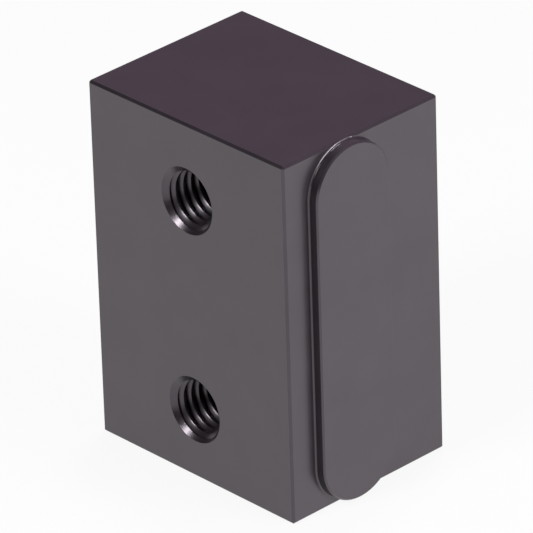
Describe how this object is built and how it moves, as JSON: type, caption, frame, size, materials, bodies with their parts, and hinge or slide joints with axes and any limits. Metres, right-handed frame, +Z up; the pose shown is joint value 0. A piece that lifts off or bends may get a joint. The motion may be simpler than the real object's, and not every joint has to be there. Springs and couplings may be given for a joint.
{
  "type": "mounting block",
  "caption": "Rectangular machined block with tapped, countersunk holes in its front face and a raised round-ended locating pad up the side next to it.",
  "frame": {"origin": "centre of the bottom of the overall box, pad included", "axes": "+Z up along the block's height; the tapped face looks towards -Y; the pad stands out towards +X"},
  "size_m": [0.0346, 0.0254, 0.048],
  "materials": {
    "black_anodised": "satin black anodised"
  },
  "bodies": {
    "root": {"mounting_block": "black_anodised"}
  },
  "joints": []
}
